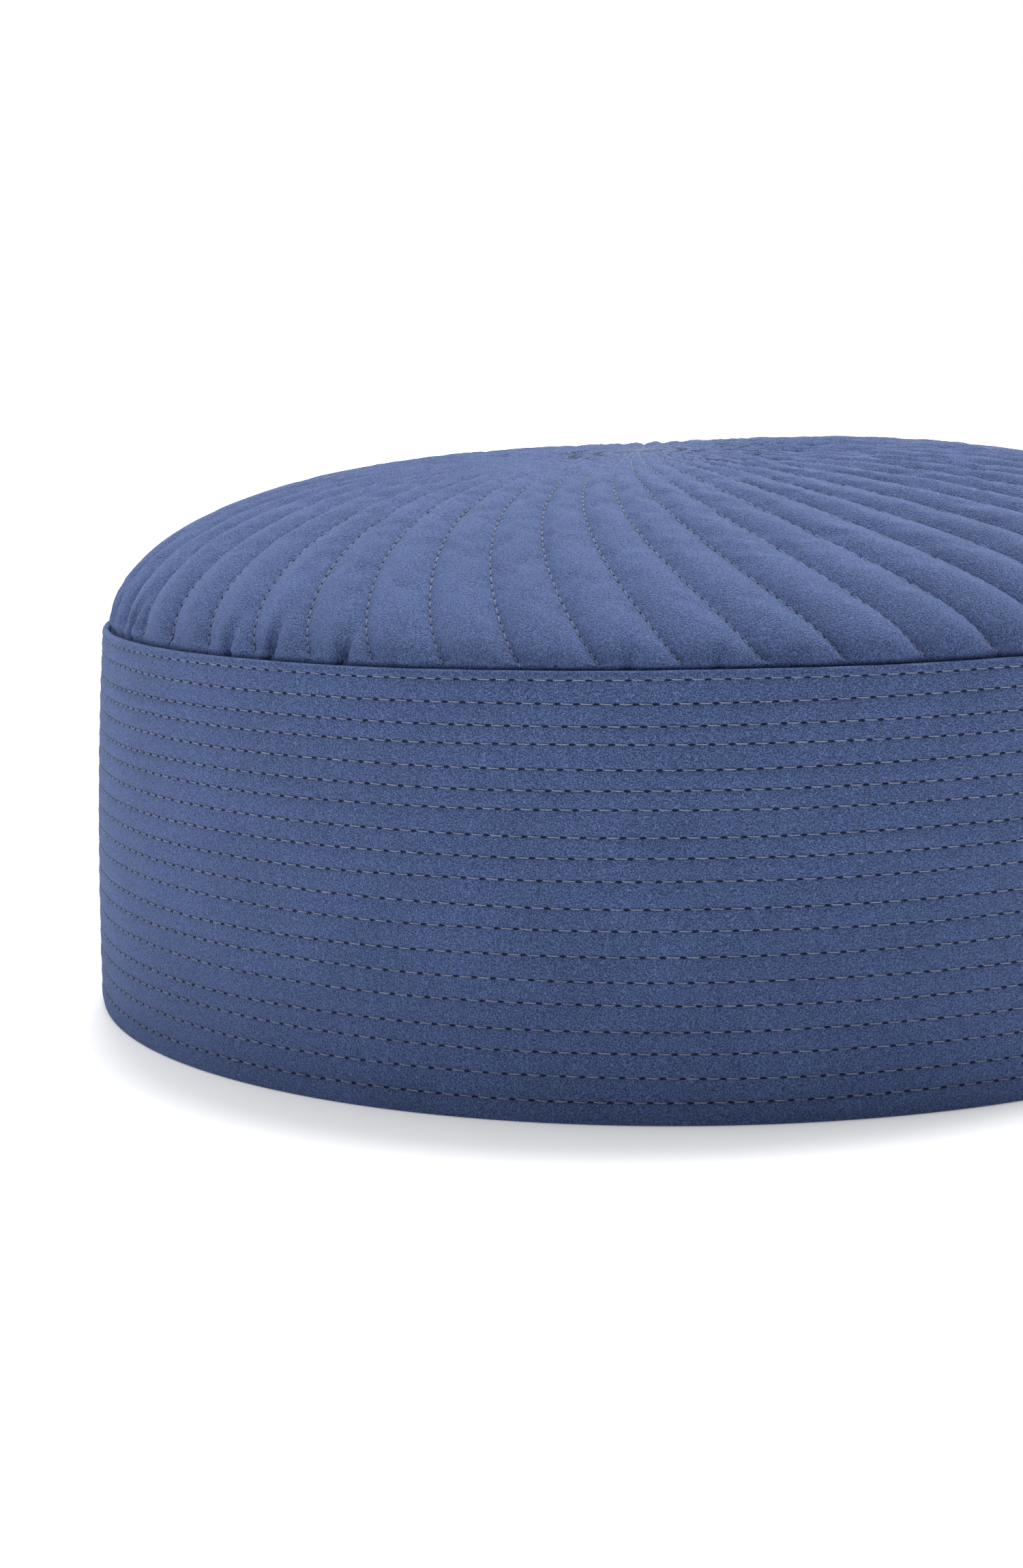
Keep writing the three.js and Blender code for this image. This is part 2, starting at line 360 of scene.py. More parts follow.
def build_band_outer():
    """The folded strip of crepe: outer face, hem fold, hem turning, inner face, top turning, top fold."""
    sizes = bpy.context.scene.cap_band
    cloth = sizes.cloth
    lift = 0.12 * MM
    angle = back_angles(sizes.columns)
    top = top_edge(angle)
    section = Section(angle)
    ply = 2 * cloth + PLY_GAP
    for turn in np.linspace(0.5, 1, 5) * math.pi:
        section.add(top - ply / 2 + ply / 2 * math.sin(turn), -ply / 2 - ply / 2 * math.cos(turn) + lift)
    first = row_line(0, angle)
    for share, rise in ((0.35, 0.16), (0.6, 0.12), (0.85, 0.0)):
        section.add((top - ply / 2) * (1 - share) + first * share, rise * MM, 0, (1 - share) * 1.2 * MM)
    section.add_all(*wall_section(angle, sizes.puff, 0, 1))
    last = row_line(len(ROW_HEIGHTS) - 1, angle)
    for share, rise in ((0.06, 0.0), (0.15, 0.12), (0.35, 0.2), (0.6, 0.18), (0.8, 0.06)):
        section.add(last * (1 - share) + 0.3 * MM * share, rise * MM, len(ROW_HEIGHTS) - 1, share * 3 * MM)
    hem = WALL_DEPTH - PLY_GAP - 0.1 * MM
    for height, depth in ((0.3, 0.04), (0.12, 0.14), (0.02, 0.36), (0, 0.7)):
        section.add(height * MM, -depth * MM)
    section.add(0, -hem + 0.6 * MM)
    section.add(0.1 * MM, -hem + 0.15 * MM)
    section.add(0.5 * MM, -hem)
    fold = 0.55 * MM
    for height, depth in ((HEM_TURNING, hem), (HEM_TURNING, hem - cloth), (fold, hem - cloth), (fold, cloth)):
        section.add(height, -depth)
    for height in np.linspace(6 * MM, BAND_HEIGHT - 1.6 * MM, 9):
        section.add(height, -cloth - lift)
    turned = -cloth - PLY_GAP - lift
    near_fold = top - 1.2 * MM
    section.add(near_fold, turned)
    section.add(top - TOP_TURNING, turned)
    section.add(top - TOP_TURNING, -ply - 0.02 * MM)
    section.add(near_fold, -ply)
    for turn in np.linspace(0, 0.4, 4) * math.pi:
        section.add(top - ply / 2 + ply / 2 * math.sin(turn), -ply / 2 - ply / 2 * math.cos(turn) + lift / 2)
    stitches = stitch_count(RIM_RADIUS, bpy.context.scene.cap_stitches.band_length)
    return section.build("band_crepe", stitches)


def build_band_lining():
    """The lining strip: its face towards the head is dimpled by the rows' lower thread."""
    columns = 288
    dimple = 0.16 * MM
    round_off = 0.1 * MM
    angle = back_angles(columns)
    back = WALL_DEPTH
    face = back + 2 * LINING_CLOTH + PLY_GAP
    section = Section(angle, straight=1)
    section.add(LINING_TOP, -face + round_off)
    section.add(LINING_TOP - 1.5 * round_off, -face)
    section.add_all(*wall_section(angle, dimple, face, -1))
    section.add(LINING_BOTTOM + 1.5 * round_off, -face)
    section.add(LINING_BOTTOM, -face + round_off)
    section.add(LINING_BOTTOM, -back)
    section.add(LINING_BOTTOM + LINING_TURNING, -back)
    section.add(LINING_BOTTOM + LINING_TURNING, -back - LINING_CLOTH)
    past = LINING_TURNING + 1 * MM
    for height in np.linspace(LINING_BOTTOM + past, LINING_TOP - past, 8):
        section.add(height, -back - LINING_CLOTH - 0.04 * MM)
    section.add(LINING_TOP - LINING_TURNING, -back - LINING_CLOTH)
    section.add(LINING_TOP - LINING_TURNING, -back)
    section.add(LINING_TOP, -back)
    stitches = stitch_count(RIM_RADIUS, bpy.context.scene.cap_stitches.band_length)
    return section.build("band_lining_cloth", stitches)


def row_stitches(name, row, depth, face, sides):
    """One row's stitches on a face of the wall: face is 1 outside and -1 inside."""
    stitches = bpy.context.scene.cap_stitches
    count = stitch_count(RIM_RADIUS, stitches.band_length)
    shift = (GOLDEN * row) % 1
    gap = 0.14  # share of a stitch's length that its hole takes at each end
    first = math.pi / 2 + TAU * (np.arange(count) - shift) / count
    angle = np.stack([first + gap * TAU / count, first + (1 - gap) * TAU / count])
    height = row_line(row, angle)
    sunk = 0.05 * MM
    swelling = wall_swelling(height) if face < 0 else 0
    points = on_wall(angle, height, -depth - face * sunk - swelling)
    middle = angle.mean(0)
    normal = face * np.stack([np.cos(middle), np.sin(middle), 0 * middle], -1)
    return add_stitches(name, points[0], points[1], normal, stitches.thread, sides)


# ---- The crown ----

def crown_radius():
    """Radius of the dome where it swells over the band's edge."""
    return FILLING_RADIUS + bpy.context.scene.cap_band.cloth + bpy.context.scene.cap_crown.swell


def crown_profile():
    """The dome's section: radii, shares of the rise, and the length of cloth from the middle to each."""
    crown = bpy.context.scene.cap_crown
    turn = np.linspace(math.pi / 2, 0, 4000)
    radius = crown_radius() * np.cos(turn) ** (2 / crown.side_fullness)
    radius[0] = 0
    share = np.sin(turn) ** (2 / crown.top_fullness)
    length = np.concatenate([[0], np.cumsum(np.hypot(np.diff(radius), crown.rise * np.diff(share)))])
    return radius, share, length


def crown_point(line, length, profile):
    """The point on the plain dome on a line, a length of cloth out from the middle.

    A line swings round nearly in proportion to the length. The dome leans and rises a little to one
    side and dips in the middle, where its lines meet off the axis; the seam stays centred on it.
    """
    crown = bpy.context.scene.cap_crown
    radius = np.interp(length, profile[2], profile[0])
    share = np.interp(length, profile[2], profile[1])
    out = length / profile[2][-1]
    stray = np.sin(TAU * 11 * line / crown.lines + 5 * out) + np.sin(TAU * 19 * line / crown.lines - 7 * out)
    swing = crown.turn * (0.8 * out + 0.2 * out ** 2 - 1) + 0.004 * stray * (1 - out)
    angle = crown.first_line + TAU * line / crown.lines + swing
    inward = 1 - (radius / crown_radius()) ** 2
    across, onward = radius * np.cos(angle), radius * np.sin(angle)
    rise = crown.rise + crown.tilt_x * across + crown.tilt_y * onward - crown.sag * onward ** 2
    uneven = 0.3 * MM * np.sin(across / (17 * MM) + 1) * np.sin(onward / (21 * MM) + 2)
    dimple = crown.dimple * np.exp(-(radius / crown.dimple_radius) ** 2)
    height = BAND_HEIGHT + (rise + uneven) * share - dimple
    x = across + crown.middle_x * inward + crown.lean * share
    y = onward + crown.middle_y * inward
    return np.stack([x, y, height], -1)


def crown_normal(line, length, profile):
    """The dome's outward direction: the cross product of a small step round and a small step out."""
    around = crown_point(line + 0.01, length, profile) - crown_point(line - 0.01, length, profile)
    step = 0.2 * MM
    low = np.maximum(length - step, 0.01 * MM)
    high = np.minimum(length + step, profile[2][-1])
    outward = crown_point(line, high, profile) - crown_point(line, low, profile)
    normal = np.cross(outward, around)
    return normal / np.linalg.norm(normal, axis=-1, keepdims=True)


def crown_relief(line, length, profile, puff, fullness=1):
    """How far the cloth lies below the dome: creases at the lines, tucks and a groove at the seam.

    A channel bulges by sine to the power 0.55 of the way across it, nearly in proportion to its width, and
    is fullest a little past its middle. With less fullness the channels are flatter and the lines as deep.
    """
    crown = bpy.context.scene.cap_crown
    across = line % 1
    bent = across ** 1.5
    share = np.interp(length, profile[2], profile[0]) / crown_radius()
    to_seam = profile[2][-1] - length
    channel = np.floor(line) % crown.lines
    strength = puff * share ** 0.85 * (1 - 0.85 * np.exp(-(to_seam / (1.6 * MM)) ** 2))
    strength = strength * (1 + 0.2 * np.sin(2.4 * channel) * np.sin(math.pi * across))
    crease = strength * (1 - fullness * np.sin(math.pi * bent) ** 0.55)
    groove = (crown.swell + 0.1 * MM) * np.exp(-(to_seam / (0.9 * MM)) ** 2)
    return crease + crown_tuck(across, channel, to_seam) * (puff / crown.puff) + groove


def crown_tuck(across, channel, to_seam):
    """Depth of the short creases that ease the crown into the seam, most of them at the front left."""
    crown = bpy.context.scene.cap_crown
    angle = crown.first_line + TAU * (channel + 0.5) / crown.lines
    fullest = math.radians(-138)
    from_fullest = np.mod(angle - fullest + math.pi, TAU) - math.pi
    easing = 0.2 + 0.8 * np.exp(-(from_fullest / 0.5) ** 2)
    depth = crown.tuck * easing * np.clip(0.5 + 0.7 * np.sin(5.1 * channel + 1), 0, 1)
    centre = 0.4 + 0.12 * np.sin(3.7 * channel) + 32 * to_seam
    width = 0.06 + 5 * to_seam
    return depth * np.exp(-((across - centre) / width) ** 2) * np.exp(-(to_seam / (7.5 * MM)) ** 2)


def crown_lines(steps):
    """The lines of a crown grid: each channel divided at the given steps."""
    return (np.arange(bpy.context.scene.cap_crown.lines)[:, None] + steps).ravel()


def crown_lengths(profile, plain, at_seam):
    """Distances out from the middle: even ones, then closer ones in the zone before the seam."""
    end = profile[2][-1]
    return np.concatenate([np.linspace(0, end - SEAM_ZONE, plain, endpoint=False),
                           np.linspace(end - SEAM_ZONE, end, at_seam)])


def crown_face(lines, lengths, profile, puff, inset, fullness=1):
    """Grid of points on one face of a crown sheet, an inset below its creased surface.

    The inset is one depth, or a depth for each length.
    """
    length, line = np.meshgrid(lengths, lines, indexing="ij")
    point = crown_point(line, length, profile)
    normal = crown_normal(line, np.maximum(length, 0.5 * MM), profile)
    normal[length < 1 * MM] = (0, 0, 1)
    depth = np.broadcast_to(inset, lengths.shape)[:, None]
    drop = crown_relief(line, length, profile, puff, fullness) + depth
    return point - normal * drop[..., None]


def crown_uv(lines, lengths, profile, rows_after):
    """UV of a crown grid: stitches counted out along the line, and millimetres from the nearest line.

    A small distance is added, and more of it near the middle, so that the needle holes are smaller than the
    band's and close up where the lines crowd together.
    """
    crown = bpy.context.scene.cap_crown
    wide = np.concatenate([lines, [crown.lines]])
    length, line = np.meshgrid(lengths, wide, indexing="ij")
    radius = np.interp(length, profile[2], profile[0])
    closed = 0.06 + 0.3 * np.exp(-(length / (24 * MM)) ** 2)
    gap = closed + np.minimum(line % 1, 1 - line % 1) * TAU * radius / crown.lines / MM
    count = length / bpy.context.scene.cap_stitches.crown_length
    near = np.floor(line + 0.5) % crown.lines
    grid = np.stack([count + GOLDEN * near, gap], -1)
    far = np.broadcast_to(np.array([0.5, 3.0]), (rows_after, len(wide), 2))
    return np.concatenate([grid, far])


def seam_skirt(lines, depths, profile):
    """Rows of cloth held inside the band below the seam: down one depth and up the other."""
    end = profile[2][-1]
    edge = crown_point(lines, np.full(len(lines), end), profile)
    angle = np.arctan2(edge[:, 1], edge[:, 0])
    near_seam = BAND_HEIGHT - 1 * MM
    rows = []
    for depth, heights in zip(depths, ((near_seam, SEAM_BOTTOM), (SEAM_BOTTOM, near_seam))):
        for height in heights:
            rows.append(on_wall(angle, np.full(len(angle), height), -depth - 0.03 * MM))
    return np.stack(rows)


def inflate(grid, sewn):
    """How each point of a sheet moves when Blender's Cloth blows it up while its sewn points stay put.

    The sheet is simulated at ten times its size, where the solver is steadier, and is cut 0.8% too large,
    as a crown is before it is eased in.
    """
    rows, columns = grid.shape[:2]
    index = np.arange(rows * columns).reshape(rows, columns)
    here, there = index[:-1], index[1:]
    quads = np.stack([here, there, np.roll(there, -1, 1), np.roll(here, -1, 1)], -1).reshape(-1, 4)
    mesh = bpy.data.meshes.new("inflating_sheet")
    mesh.from_pydata((SIMULATION_SCALE * grid.reshape(-1, 3)).tolist(), [], quads.tolist())
    sheet = bpy.data.objects.new("inflating_sheet", mesh)
    scene = bpy.context.scene
    scene.collection.objects.link(sheet)
    group = sheet.vertex_groups.new(name="sewn")
    group.add(index[sewn].tolist(), 1.0, "REPLACE")
    cloth = sheet.modifiers.new("inflating", "CLOTH")
    cloth.settings.vertex_group_mass = "sewn"
    cloth.settings.use_pressure = True
    cloth.settings.uniform_pressure_force = 4
    cloth.settings.shrink_min = -0.008
    cloth.settings.effector_weights.gravity = 0
    cloth.point_cache.frame_start = 1
    cloth.point_cache.frame_end = SIMULATION_FRAMES
    for step in range(1, SIMULATION_FRAMES + 1):
        scene.frame_set(step)
    settled = sheet.evaluated_get(bpy.context.evaluated_depsgraph_get())
    points = np.zeros(3 * rows * columns, np.float32)
    settled.data.vertices.foreach_get("co", points)
    bpy.data.objects.remove(sheet)
    bpy.data.meshes.remove(mesh)
    scene.frame_set(1)
    return points.reshape(grid.shape) / SIMULATION_SCALE - grid


def crown_swelling(lines, lengths, profile):
    """How the crown's cloth moves when it is blown up between its quilting lines, for a finer grid.

    The movement is worked out on a coarse grid and read off between its points in both directions.
    """
    crown = bpy.context.scene.cap_crown
    steps = 8
    coarse_lines = crown_lines(np.arange(steps) / steps)
    coarse_lengths = crown_lengths(profile, 52, 12)[1:]
    length, line = np.meshgrid(coarse_lengths, coarse_lines, indexing="ij")
    normal = crown_normal(line, length, profile)
    drop = crown_relief(line, length, profile, crown.puff, SIMULATED_FULLNESS)
    grid = crown_point(line, length, profile) - normal * drop[..., None]
    sewn = np.zeros(line.shape, bool)
    sewn[:, ::steps] = True
    sewn[0] = True
    sewn[-2:] = True
    moved = inflate(grid, sewn)
    size = np.linalg.norm(moved, axis=-1, keepdims=True)
    moved = moved * np.minimum(1, SWELLING_CAP / np.maximum(size, 1e-9))
    row = np.interp(lengths, coarse_lengths, np.arange(len(coarse_lengths)))
    low = np.minimum(row.astype(int), len(coarse_lengths) - 2)
    part = (row - low)[:, None, None]
    across = moved[low] * (1 - part) + moved[low + 1] * part
    column = lines * steps
    left = column.astype(int)
    right = (left + 1) % across.shape[1]
    part = (column - left)[None, :, None]
    return across[:, left] * (1 - part) + across[:, right] * part


def build_crown_outer():
    """The round crown panel: creased outer face, edge held in the seam, and its inner face."""
    profile = crown_profile()
    crown = bpy.context.scene.cap_crown
    cloth = bpy.context.scene.cap_band.cloth
    lines = crown_lines(CHANNEL_STEPS)
    lengths = crown_lengths(profile, 80, 24)
    inner_lengths = crown_lengths(profile, 16, 6)[::-1]
    outer = crown_face(lines, lengths, profile, crown.puff, 0, SIMULATED_FULLNESS)
    outer = outer + crown_swelling(lines, lengths, profile)
    inner = crown_face(lines, inner_lengths, profile, crown.puff, cloth)
    skirt = seam_skirt(lines, (2.3 * cloth, 3.3 * cloth), profile)
    grid = np.concatenate([outer, skirt, inner])
    uv = crown_uv(lines, lengths, profile, len(skirt) + len(inner))
    return add_surface("crown_crepe", grid, uv, ring=False)


def lining_inset(length, profile):
    """How far the lining's upper face lies under the dome: close at the seam, a filling's depth inside."""
    at_seam = 1.7 * MM
    deeper = 1.6 * MM
    reach = 5 * MM
    ease = np.clip((profile[2][-1] - length) / reach, 0, 1)
    return at_seam + deeper * ease * ease * (3 - 2 * ease)


def build_crown_wadding():
    """The soft filling between the crown's two cloths, pressed in along the quilting lines."""
    profile = crown_profile()
    crown = bpy.context.scene.cap_crown
    lines = crown_lines(CHANNEL_STEPS[::2])
    lengths = crown_lengths(profile, 50, 8)[:-4]  # it stops short of the seam
    under_crepe = 1.1 * MM
    over_lining = 0.1 * MM
    top = crown_face(lines, lengths, profile, crown.puff, under_crepe)
    back = lengths[::-1]
    inset = lining_inset(back, profile) - over_lining
    below = crown_face(lines, back, profile, LINING_PUFF * crown.puff, inset)
    grid = np.concatenate([top, below])
    return add_surface("crown_filling", grid, crown_uv(lines, lengths, profile, len(lengths)), ring=False)


def build_crown_lining():
    """The lining under the crown: a closed sheet with shallow creases along the quilting lines."""
    profile = crown_profile()
    crown = bpy.context.scene.cap_crown
    lines = crown_lines(np.array([0, 0.08, 0.25, 0.5, 0.75, 0.92]))
    lengths = crown_lengths(profile, 60, 8)
    back = lengths[::-1]
    puff = LINING_PUFF * crown.puff
    below = crown_face(lines, lengths, profile, puff, lining_inset(lengths, profile) + LINING_CLOTH)
    above = crown_face(lines, back, profile, puff, lining_inset(back, profile))
    skirt_depth = 1.95 * MM
    skirt = seam_skirt(lines, (skirt_depth + LINING_CLOTH, skirt_depth), profile)
    grid = np.concatenate([below, skirt, above])
    uv = crown_uv(lines, lengths, profile, len(skirt) + len(above))
    return add_surface("crown_lining_cloth", grid, uv, ring=False)


def quilt_stitches(name, puff, face, sides):
    """The stitches of every quilting line on one face of the crown: face is 1 above and -1 below.

    They stand a little proud of the crease, and sink into it near the middle where they crowd together.
    """
    crown = bpy.context.scene.cap_crown
    stitches = bpy.context.scene.cap_stitches
    profile = crown_profile()
    start, end, normals = [], [], []
    for line in range(crown.lines):
        shift = (GOLDEN * line) % 1
        first = stitches.crown_length * (np.arange(1, 60) - shift)
        first = first[first > 1.6 * MM]
        first = first[first + 0.95 * stitches.crown_length < profile[2][-1] - 0.4 * MM]
        gap = 0.08  # share of a stitch's length that its hole takes at each end
        for share, ends in ((gap, start), (1 - gap, end)):
            length = first + share * stitches.crown_length
            where = np.full(len(length), float(line))
            point = crown_point(where, length, profile)
            normal = crown_normal(where, length, profile)
            sunk = 0.18 * MM * np.exp(-(length / (20 * MM)) ** 2) - 0.06 * MM
            drop = crown_relief(where, length, profile, puff) + face * sunk
            if face < 0:
                drop = drop + lining_inset(length, profile) + LINING_CLOTH
            ends.append(point - normal * drop[:, None])
        normals.append(face * normal)
    return add_stitches(name, np.concatenate(start), np.concatenate(end), np.concatenate(normals),
                        stitches.thread * 0.95, sides)


def build_knot():
    """The patch of crossing thread where the lines meet: a low dome with radial ridges."""
    lengths = np.array([0, 0.3, 0.6, 0.9, 1.2, 1.5, 1.8, 1.8, 1.0, 0]) * MM
    rise = np.array([0.02, 0.05, 0.07, 0.07, 0.05, 0, -0.15, -0.4, -0.5, -0.5]) * MM
    ridge = np.array([0, 0.02, 0.05, 0.08, 0.1, 0.1, 0, 0, 0, 0]) * MM
    lines = crown_lines(np.array([0, 0.25, 0.5, 0.75]))
    length, line = np.meshgrid(lengths, lines, indexing="ij")
    grid = crown_point(line, length, crown_profile())
    grid[..., 2] += rise[:, None] + ridge[:, None] * np.cos(TAU * line)
    u = np.broadcast_to(lengths[:, None] / MM, (len(lengths), len(lines) + 1))
    v = np.broadcast_to(np.arange(len(lines) + 1) / 4, (len(lengths), len(lines) + 1))
    return add_surface("crown_thread_knot", grid, np.stack([u, v], -1), ring=False)


# ---- Materials ----

NOISE_SPREAD = {"From Min": 0.3, "From Max": 0.7}  # where nearly all of a noise texture's values lie


def add_node(tree, kind, values=None, links=None, **settings):
    """Adds a node with its settings, its sockets' values and its links."""
    made = tree.nodes.new(kind)
    for key, value in settings.items():
        setattr(made, key, value)
    for key, value in (values or {}).items():
        made.inputs[key].default_value = value
    for key, source in (links or {}).items():
        tree.links.new(source, made.inputs[key])
    return made


def start_material(name):
    """A new material's tree, its surface shader and its object coordinates."""
    material = bpy.data.materials.new(name)
    material.use_nodes = True
    tree = material.node_tree
    shader = tree.nodes["Principled BSDF"]
    return material, tree, shader, add_node(tree, "ShaderNodeTexCoord")


def opaque(colour):
    return (*colour, 1.0)


def crepe_material(name, light, shade, grain_size, grain_height):
    """Matte fabric with a pebbled weave, dimpled along its stitches, with painted shadow in its needle holes.

    Crepe is woven from hard-twisted yarn that shrinks into tiny pebbles, so it has a grain but no gloss,
    and a faint bloom of fibre at grazing angles. A needle hole is 0.5 mm long; its UV counts stitches
    along the row and millimetres from it.
    """
    colours = bpy.context.scene.cap_colours
    material, tree, shader, coords = start_material(name)
    place = coords.outputs["Object"]
    grain = add_node(tree, "ShaderNodeTexNoise", {"Scale": 1 / grain_size, "Detail": 1.0}, {"Vector": place})
    cloud = add_node(tree, "ShaderNodeTexNoise", {"Scale": 1 / (14 * MM), "Detail": 2.0}, {"Vector": place})
    contrast = add_node(tree, "ShaderNodeMapRange",
                        {"From Min": 0.32, "From Max": 0.68}, {"Value": grain.outputs["Fac"]})
    # the grain mixes the lit and the shaded colour by the same noise that raises the bump: partly the yarn's
    # own tone, partly painted shade in the grain's hollows
    cloth = add_node(tree, "ShaderNodeMix", {"A": opaque(shade), "B": opaque(light)},
                     {"Factor": contrast.outputs[0]}, data_type="RGBA")
    dim = add_node(tree, "ShaderNodeMapRange", {**NOISE_SPREAD, "To Min": 0.93, "To Max": 1.05},
                   {"Value": cloud.outputs["Fac"]})
    toned = add_node(tree, "ShaderNodeVectorMath", None,
                     {0: cloth.outputs["Result"], 1: dim.outputs[0]}, operation="MULTIPLY")
    uv = add_node(tree, "ShaderNodeUVMap", uv_map="sewing")
    split = add_node(tree, "ShaderNodeSeparateXYZ", None, {0: uv.outputs[0]})
    along = add_node(tree, "ShaderNodeMath", {1: 0.5}, {0: split.outputs[0]}, operation="PINGPONG")
    long_way = add_node(tree, "ShaderNodeMath", {1: 4.6}, {0: along.outputs[0]}, operation="MULTIPLY")
    short_way = add_node(tree, "ShaderNodeMath", {1: 4.4}, {0: split.outputs[1]}, operation="MULTIPLY")
    ellipse = add_node(tree, "ShaderNodeCombineXYZ", None, {0: long_way.outputs[0], 1: short_way.outputs[0]})
    reach = add_node(tree, "ShaderNodeVectorMath", None, {0: ellipse.outputs[0]}, operation="LENGTH")
    hole = add_node(tree, "ShaderNodeMapRange", {"From Min": 1.0, "From Max": 0.55},
                    {"Value": reach.outputs["Value"]}, interpolation_type="SMOOTHSTEP")
    # painted shadow: the needle holes are mixed towards a dark colour that stands in for the shade inside
    # them
    shadowed_holes = add_node(tree, "ShaderNodeMix", {"B": opaque(colours.needle_hole_shadow)},
                       {"Factor": hole.outputs[0], "A": toned.outputs[0]}, data_type="RGBA")
    near = add_node(tree, "ShaderNodeMapRange", {"From Min": 1.3, "From Max": 0.0},
                    {"Value": split.outputs[1]}, interpolation_type="SMOOTHSTEP")
    dimple = add_node(tree, "ShaderNodeMath", {1: 2.0}, {0: along.outputs[0]}, operation="MULTIPLY")
    pucker = add_node(tree, "ShaderNodeMath", None, {0: dimple.outputs[0], 1: near.outputs[0]},
                      operation="MULTIPLY")
    sunk = add_node(tree, "ShaderNodeMath", {1: 2.5}, {0: hole.outputs[0]}, operation="MULTIPLY")
    height = add_node(tree, "ShaderNodeMath", {1: 1.0}, {0: contrast.outputs[0], 2: pucker.outputs[0]},
                      operation="MULTIPLY_ADD")
    total = add_node(tree, "ShaderNodeMath", None, {0: height.outputs[0], 1: sunk.outputs[0]},
                     operation="SUBTRACT")
    bump = add_node(tree, "ShaderNodeBump", {"Strength": 1.0, "Distance": grain_height},
                    {"Height": total.outputs[0]})
    tree.links.new(shadowed_holes.outputs["Result"], shader.inputs["Base Color"])
    tree.links.new(bump.outputs[0], shader.inputs["Normal"])
    shader.inputs["Roughness"].default_value = 0.92
    shader.inputs["Specular IOR Level"].default_value = 0.25
    shader.inputs["Sheen Weight"].default_value = 0.25
    shader.inputs["Sheen Roughness"].default_value = 0.3
    shader.inputs["Sheen Tint"].default_value = opaque(linear("#8FA5DC"))
    return material


def thread_material():
    """Spun polyester sewing thread: two plies twisted together, dull, lighter than the cloth.

    The twist is about a millimetre long and shows as slanting ridges; some stitches are a little darker.
    """
    colours = bpy.context.scene.cap_colours
    material, tree, shader, coords = start_material("spun_polyester_thread")
    uv = add_node(tree, "ShaderNodeUVMap", uv_map="sewing")
    twist = add_node(tree, "ShaderNodeTexWave", {"Scale": 1.6, "Distortion": 0.4}, {"Vector": uv.outputs[0]},
                     bands_direction="DIAGONAL")
    tone = add_node(tree, "ShaderNodeTexNoise", {"Scale": 1 / (2.2 * MM), "Detail": 1.0},
                    {"Vector": coords.outputs["Object"]})
    dull = add_node(tree, "ShaderNodeMapRange", {**NOISE_SPREAD, "To Min": 0.72, "To Max": 1.1},
                    {"Value": tone.outputs["Fac"]})
    colour = add_node(tree, "ShaderNodeVectorMath", {0: colours.thread}, {1: dull.outputs[0]},
                      operation="MULTIPLY")
    bump = add_node(tree, "ShaderNodeBump", {"Strength": 0.6, "Distance": 0.04 * MM},
                    {"Height": twist.outputs["Fac"]})
    tree.links.new(colour.outputs[0], shader.inputs["Base Color"])
    tree.links.new(bump.outputs[0], shader.inputs["Normal"])
    shader.inputs["Roughness"].default_value = 0.85
    shader.inputs["Specular IOR Level"].default_value = 0.2
    return material


def fibre_material(name, hex_colour, grain_size, grain_height, stretch):
    """Felt, canvas or wadding: a matte mass of fibres, with a grain stretched along one direction."""
    material, tree, shader, coords = start_material(name)
    aim = add_node(tree, "ShaderNodeMapping", {"Scale": stretch}, {"Vector": coords.outputs["Object"]})
    fibre = add_node(tree, "ShaderNodeTexNoise", {"Scale": 1 / grain_size, "Detail": 3.0},
                     {"Vector": aim.outputs[0]})
    shade = add_node(tree, "ShaderNodeMapRange", {**NOISE_SPREAD, "To Min": 0.82, "To Max": 1.0},
                     {"Value": fibre.outputs["Fac"]})
    colour = add_node(tree, "ShaderNodeVectorMath", {0: linear(hex_colour)}, {1: shade.outputs[0]},
                      operation="MULTIPLY")
    bump = add_node(tree, "ShaderNodeBump", {"Strength": 0.8, "Distance": grain_height},
                    {"Height": fibre.outputs["Fac"]})
    tree.links.new(colour.outputs[0], shader.inputs["Base Color"])
    tree.links.new(bump.outputs[0], shader.inputs["Normal"])
    shader.inputs["Roughness"].default_value = 0.95
    return material


def crepe():
    colours = bpy.context.scene.cap_colours
    made = bpy.data.materials.get("polyester_crepe")
    return made or crepe_material("polyester_crepe", colours.crepe, colours.crepe_shade, 0.2 * MM, 0.17 * MM)


def poplin():
    """Plain cotton lining: finer and flatter than the crepe."""
    made = bpy.data.materials.get("cotton_poplin")
    if made:
        return made
    lining = bpy.context.scene.cap_colours.lining
    # the lining's grain is mixed down to 0.8 of its colour in the hollows: partly the cotton's own tone,
    # partly painted shade
    shade = tuple(0.8 * value for value in lining)
    return crepe_material("cotton_poplin", lining, shade, 0.17 * MM, 0.03 * MM)


def thread():
    return bpy.data.materials.get("spun_polyester_thread") or thread_material()


def dress(piece, material, replaced=()):
    """Gives a piece its material, its body and the frame nodes it stands for."""
    piece.data.materials.append(material)
    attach(piece, BODY)
    if replaced:
        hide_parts(*replaced)
    return piece


# ---- Operators ----

class CAP_OT_band(bpy.types.Operator):
    """Add the band's folded strip of crepe"""
    bl_idname = "cap.band"
    bl_label = "Band"

    def execute(self, context):
        dress(build_band_outer(), crepe(), ["band_outer"])
        return {"FINISHED"}


class CAP_OT_band_stitches(bpy.types.Operator):
    """Add the rows of stitches round the band"""
    bl_idname = "cap.band_stitches"
    bl_label = "Band stitches"

    def execute(self, context):
        for row, node in enumerate(ROW_NODES):
            piece = row_stitches(f"band_thread_{row + 1:02d}", row, 0, 1, 6)
            dress(piece, thread(), [node])
        return {"FINISHED"}


class CAP_OT_crown(bpy.types.Operator):
    """Add the quilted crown panel and the filling under it"""
    bl_idname = "cap.crown"
    bl_label = "Crown"

    def execute(self, context):
        outer = dress(build_crown_outer(), crepe(), ["crown_outer"])
        white = fibre_material("polyester_wadding", "#F2F2F0", 2 * MM, 0.3 * MM, (1, 1, 1))
        filling_piece = dress(build_crown_wadding(), white, ["crown_wadding"])
        return {"FINISHED"}


